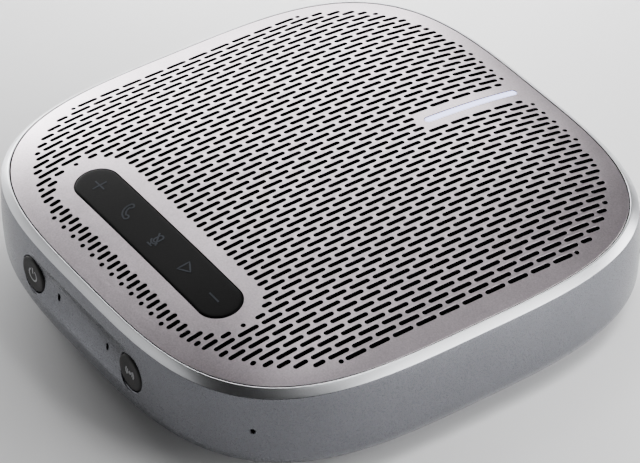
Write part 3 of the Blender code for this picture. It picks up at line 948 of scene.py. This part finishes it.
def turned_points(points, degrees):
    turn = math.radians(degrees)
    return [
        (x * math.cos(turn) - y * math.sin(turn), x * math.sin(turn) + y * math.cos(turn))
        for x, y in points
    ]


def plus_icon():
    return [(line((-1.75, 0), (1.75, 0)), False), (line((0, -1.75), (0, 1.75)), False)]


def minus_icon():
    return [(line((-2.2, -0.35), (1.2, -0.35)), False)]


def play_icon():
    corners = [(-1.2, 1.5), (1.5, 0), (-1.2, -1.5)]
    outline = []
    for start, end in zip(corners, corners[1:] + corners[:1]):
        outline += line(start, end)[:-1]
    return [(outline, True)]


def handset_icon():
    """A telephone handset: two rounded ends joined by a curved grip."""
    outline = circle_arc((0, 2.05), 2.85, 222, 318, 14)
    outline += circle_arc((1.68, 0.45), 0.6, -22, 205, 10)
    outline += circle_arc((0, 2.05), 2.1, 294, 246, 8)
    outline += circle_arc((-1.68, 0.45), 0.6, -25, 202, 10)
    return [(moved(turned_points(outline, -52), -0.4, -0.1), True)]


def mute_icon():
    """A microphone on its stand, with a bar through it."""
    capsule = circle_arc((0, 0.9), 0.62, 0, 180, 8) + circle_arc((0, -0.15), 0.62, 180, 360, 8)
    cradle = circle_arc((0, -0.15), 1.15, 200, 340, 10)
    return [
        (capsule, True),
        (cradle, False),
        (line((0, -1.3), (0, -1.85)), False),
        (line((-0.8, -1.9), (0.8, -1.9)), False),
        (line((-1.35, 1.55), (1.3, -1.25), 8), False),
    ]


def power_icon():
    return [(circle_arc((0, -0.1), 1.45, 122, 418, 26), False), (line((0, 0.25), (0, 1.75)), False)]


def pairing_icon():
    """Waves going out from a dot to both sides."""
    strokes = [(circle_arc((0, 0), 0.28, 0, 330, 11), True)]
    for radius in (0.9, 1.45):
        for middle in (0, 180):
            strokes.append((circle_arc((0, 0), radius, middle - 40, middle + 40, 12), False))
    return strokes


def make_strip_icons():
    icons = (plus_icon, handset_icon, mute_icon, play_icon, minus_icon)
    for index, (key, draw) in enumerate(zip(KEYS, icons)):
        middle = (index - 2) * KEY_PITCH

        def lift(x, y, depth, middle=middle):
            place_x, place_y = middle + x, STRIP_Y + y
            return (place_x, place_y, crown_height(place_x, place_y, STRIP_DROP - 0.035 + depth))

        build = bmesh.new()
        for points, closed in draw():
            stroke(build, points, 0.37, lift, closed)
        bmesh.ops.recalc_face_normals(build, faces=build.faces)
        new_piece(f"icon_{key}", build, ICON_INK, key + "_key")


# Light bar

def make_light_bar():
    length, width = BAR_LENGTH - 2 * BAR_EASE, BAR_WIDTH - 2 * BAR_EASE
    outline = stadium(length, width, steps=12, upright=True)
    build = slab(
        [moved(refined(outline, 1.0), 0, BAR_Y)],
        lambda x, y: crown_height(x, y, BAR_DROP),
        lambda x, y: crown_height(x, y, BAR_DROP + BAR_DEPTH),
        bevel=BAR_EASE,
    )
    bar = new_piece("light_bar", build, GLOW, "body")
    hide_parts("light_guide")


# Front buttons

def turned(build, profile, steps=64, place=(0, 0, 0)):
    """Turns (radius, height) about Z into faces of the bmesh."""
    rings = []
    for radius, height in profile:
        if radius == 0:
            rings.append([build.verts.new((place[0], place[1], place[2] + height))])
            continue
        ring = []
        for step in range(steps):
            angle = 2 * math.pi * step / steps
            x, y = radius * math.cos(angle), radius * math.sin(angle)
            ring.append(build.verts.new((place[0] + x, place[1] + y, place[2] + height)))
        rings.append(ring)
    for first, second in zip(rings, rings[1:]):
        if len(first) == 1:
            for i in range(steps):
                build.faces.new((first[0], second[i], second[(i + 1) % steps]))
        elif len(second) == 1:
            for i in range(steps):
                build.faces.new((first[i], first[(i + 1) % steps], second[0]))
        else:
            bridge(build, first, second)


def to_front(build, x):
    """Turns a shape about Z to face the front, centred on a button."""
    for vertex in build.verts:
        across, up, out = vertex.co
        vertex.co = (x + across, -out, BUTTON_Z + up)
    bmesh.ops.recalc_face_normals(build, faces=build.faces)


def make_front_buttons():
    face = -BUTTON_FACE
    radius = BUTTON_RADIUS
    profile = [(0, -0.12), (1.5, -0.1), (2.9, -0.04), (radius - 0.45, 0), (radius - 0.2, -0.05)]
    profile += [(radius - 0.06, -0.18), (radius, -0.4), (radius, -2.8), (radius + 0.7, -2.8)]
    profile += [(radius + 0.7, -3.6), (0, -3.6)]
    profile = [(r, face + height) for r, height in profile]
    for side, label, draw in ((-1, "power", power_icon), (1, "pairing", pairing_icon)):
        build = bmesh.new()
        turned(build, profile)
        to_front(build, side * BUTTON_X)
        name = label + "_cap_shell"
        button = new_piece(name, build, BUTTON_PLASTIC, label + "_cap")
        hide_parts(label + "_button")

        def lift(x, y, depth):
            dish = -0.12 + 0.09 * (math.hypot(x, y) / 2.9) ** 2
            return (x, y, face + dish + 0.035 - depth)

        build = bmesh.new()
        for points, closed in draw():
            stroke(build, points, 0.36, lift, closed)
        to_front(build, side * BUTTON_X)
        new_piece("icon_" + label, build, BUTTON_INK, label + "_cap")


# Loudspeaker suspension

def surround_section():
    """Section of the rubber half roll as (radius, height), with a lip at each side."""
    middle, radius, thick = 22.9, 1.75, 0.4
    upper, lower = [], []
    for step in range(13):
        turn = math.radians(15 * step)
        lift = 24.1 - 0.85 * step / 12
        upper.append((middle + radius * math.cos(turn), lift + radius * math.sin(turn) + thick))
        inner = radius - thick
        lower.append((middle + inner * math.cos(turn), lift + inner * math.sin(turn)))
    return [(26.2, 24.1)] + lower + [(19.8, 23.25), (19.8, 23.65)] + upper[::-1] + [(26.2, 24.5)]


def spider_section():
    """Section of the corrugated cloth disc between the voice coil and the basket."""
    upper, lower = [], []
    for step in range(33):
        share = step / 32
        height = 15.2 + 0.25 * math.sin(4 * math.pi * share)
        upper.append((6.4 + 7.0 * share, height + 0.3))
        lower.append((6.4 + 7.0 * share, height))
    return lower[::-1] + upper


def flexible_ring(label, node, section, material):
    """A ring in sectors, each a sweep of the section round its share of the circle."""
    for index in range(SUSPENSION_SECTORS):
        build = bmesh.new()
        rows = []
        for step in range(7):
            angle = 2 * math.pi * (index + step / 6) / SUSPENSION_SECTORS
            rows.append([build.verts.new((r * math.cos(angle), r * math.sin(angle), z)) for r, z in section])
        for first, second in zip(rows, rows[1:]):
            bridge(build, first, second)
        build.faces.new(rows[0])
        build.faces.new(rows[-1])
        bmesh.ops.recalc_face_normals(build, faces=build.faces)
        sector = new_piece(f"{label}_{index + 1:02d}", build, material, None)
        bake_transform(sector)
        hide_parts(node)


def make_suspension():
    surround, spider = surround_section(), spider_section()
    flexible_ring("surround", "speaker_surround", surround, RUBBER)
    flexible_ring("spider", "speaker_spider", spider, SPIDER_CLOTH)


# Carried-over CAD nodes

def finish_cad_nodes():
    finishes = {
        "bottom_cover": BLACK_PLASTIC,
        "foot_ring": RUBBER,
        "baffle": BLACK_PLASTIC,
        "speaker_basket": BLACK_PLASTIC,
        "speaker_cone": PAPER,
        "dust_cap": PAPER,
        "voice_coil": COPPER,
        "speaker_magnet": FERRITE,
        "speaker_top_plate": STEEL,
        "speaker_yoke": STEEL,
        "shield_can": STEEL,
        "usb_receptacle": STEEL,
        "battery": FILM,
        "battery_pad": FOAM,
        "screw": STEEL,
        "dome": STEEL,
        "switch": STEEL,
        "gasket": RUBBER,
        "pipe": DARK_PIPE,
        "board": BOARD,
    }
    for name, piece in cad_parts.items():
        if name in finishes:
            material = finishes[name]
        else:
            found = [value for part, value in finishes.items() if part in name]
            material = found[0] if found else BLACK_PLASTIC
        for slot in piece.material_slots:
            slot.material = material


# Stage, light and camera

def pale_material(name, colour):
    pale = Nodes(name, colour, 0.9)
    cloud = pale.noise(60.0, detail=2.0)
    pale.colour(cloud, [(0.3, shade(colour, 0.985)), (0.7, colour)])
    return pale.material


def make_stage():
    """A flat pale floor, wide enough to fill the picture."""
    build = bmesh.new()
    half = 1600
    rows = []
    for x, y in ((-half, -half), (half, -half), (half, half), (-half, half)):
        rows.append(build.verts.new((x, y, -0.02)))
    build.faces.new(rows)
    bmesh.ops.subdivide_edges(build, edges=build.edges, cuts=8, use_grid_fill=True)
    floor = new_piece("floor", build, pale_material("pale_floor", (0.86, 0.86, 0.865)), None)


def area_light(name, place, target, size, radiance, spread=180):
    """A rectangular lamp; spread below 180 keeps its light close to the way it faces."""
    light = bpy.data.lights.new(name, "AREA")
    light.shape = "RECTANGLE"
    light.size, light.size_y = size
    light.energy = radiance * math.pi * size[0] * size[1]
    light.spread = math.radians(spread)
    lamp = bpy.data.objects.new(name, light)
    lamp.location = place
    lamp.rotation_euler = (Vector(target) - Vector(place)).to_track_quat("-Z", "Y").to_euler()
    bpy.context.scene.collection.objects.link(lamp)


def softbox(name, azimuth, elevation, radiance, size=(0.5, 0.34), distance=1.0):
    """A softbox facing the object; azimuth runs from +X towards +Y."""
    turn, rise = math.radians(azimuth), math.radians(elevation)
    place = (
        distance * math.cos(turn) * math.cos(rise),
        distance * math.sin(turn) * math.cos(rise),
        distance * math.sin(rise),
    )
    area_light(name, place, (0, 0, 0.02), size, radiance)


def floor_light(name, x, y, radiance):
    """A small lamp straight above one place on the floor."""
    area_light(name, (x, y, 0.3), (x, y, 0), (0.16, 0.16), radiance, spread=70)


def make_lights():
    """Softboxes low round the left and the back, so that the top mirrors a bright left side.

    They began as a rounded fit to the photograph's tones, and most were then set one by one.
    """
    world = bpy.data.worlds.new("studio")
    world.use_nodes = True
    world.node_tree.nodes["Background"].inputs["Strength"].default_value = 0.0
    bpy.context.scene.world = world
    softbox("left_low", 176, 14, 19)
    softbox("back_low", 72, 17, 10)
    softbox("right_back_low", 30, 10, 12.5)
    softbox("back_left_high", 151, 26, 8)
    softbox("back_left_low", 150, 10, 3)
    softbox("right_back_high", 28, 32, 4.5)
    softbox("right_back_top", 45, 40, 0.8)
    softbox("front_left_high", 240, 28, 1.15)
    softbox("front_left_low", 210, 10, 1.1)
    floor_light("back_left_floor", -0.15, 0.12, 7.2)
    floor_light("right_back_floor", 0.17, 0.09, 4.0)
    floor_light("front_left_floor", -0.22, -0.2, 3.0)


def make_camera():
    """Looks down on the front right corner, so that the top and two walls show.

    Its angles, distances and focal length come from a fit to the photograph's view.
    """
    azimuth, elevation, roll = (math.radians(value) for value in (56.8926, 38.8097, -1.6355))
    distance, aside, above = 752.226, 0.7129, -14.0634
    focal_in_pixels, frame_width, sensor = 3569.59, 640, 36.0
    back = Vector((
        math.sin(azimuth) * math.cos(elevation),
        -math.cos(azimuth) * math.cos(elevation),
        math.sin(elevation),
    ))
    right = Vector((math.cos(azimuth), math.sin(azimuth), 0))
    up = back.cross(right)
    rolled_right = math.cos(roll) * right + math.sin(roll) * up
    rolled_up = -math.sin(roll) * right + math.cos(roll) * up
    place = Vector((0, 0, TOP)) + back * distance + rolled_right * aside + rolled_up * above
    data = bpy.data.cameras.new("camera")
    data.sensor_fit = "HORIZONTAL"
    data.sensor_width = sensor
    data.lens = focal_in_pixels * sensor / frame_width
    data.clip_start, data.clip_end = 0.05, 20
    camera = bpy.data.objects.new("camera", data)
    bpy.context.scene.collection.objects.link(camera)
    camera.location = place * MM
    turn = [[rolled_right[i], rolled_up[i], back[i]] for i in range(3)]
    camera.rotation_euler = Matrix(turn).to_euler()
    bpy.context.scene.camera = camera


make_camera()
make_stage()
make_lights()
make_grille_plate()
make_acoustic_cloth()
make_housing()
make_key_strip()
make_strip_icons()
make_light_bar()
make_front_buttons()
make_suspension()
finish_cad_nodes()
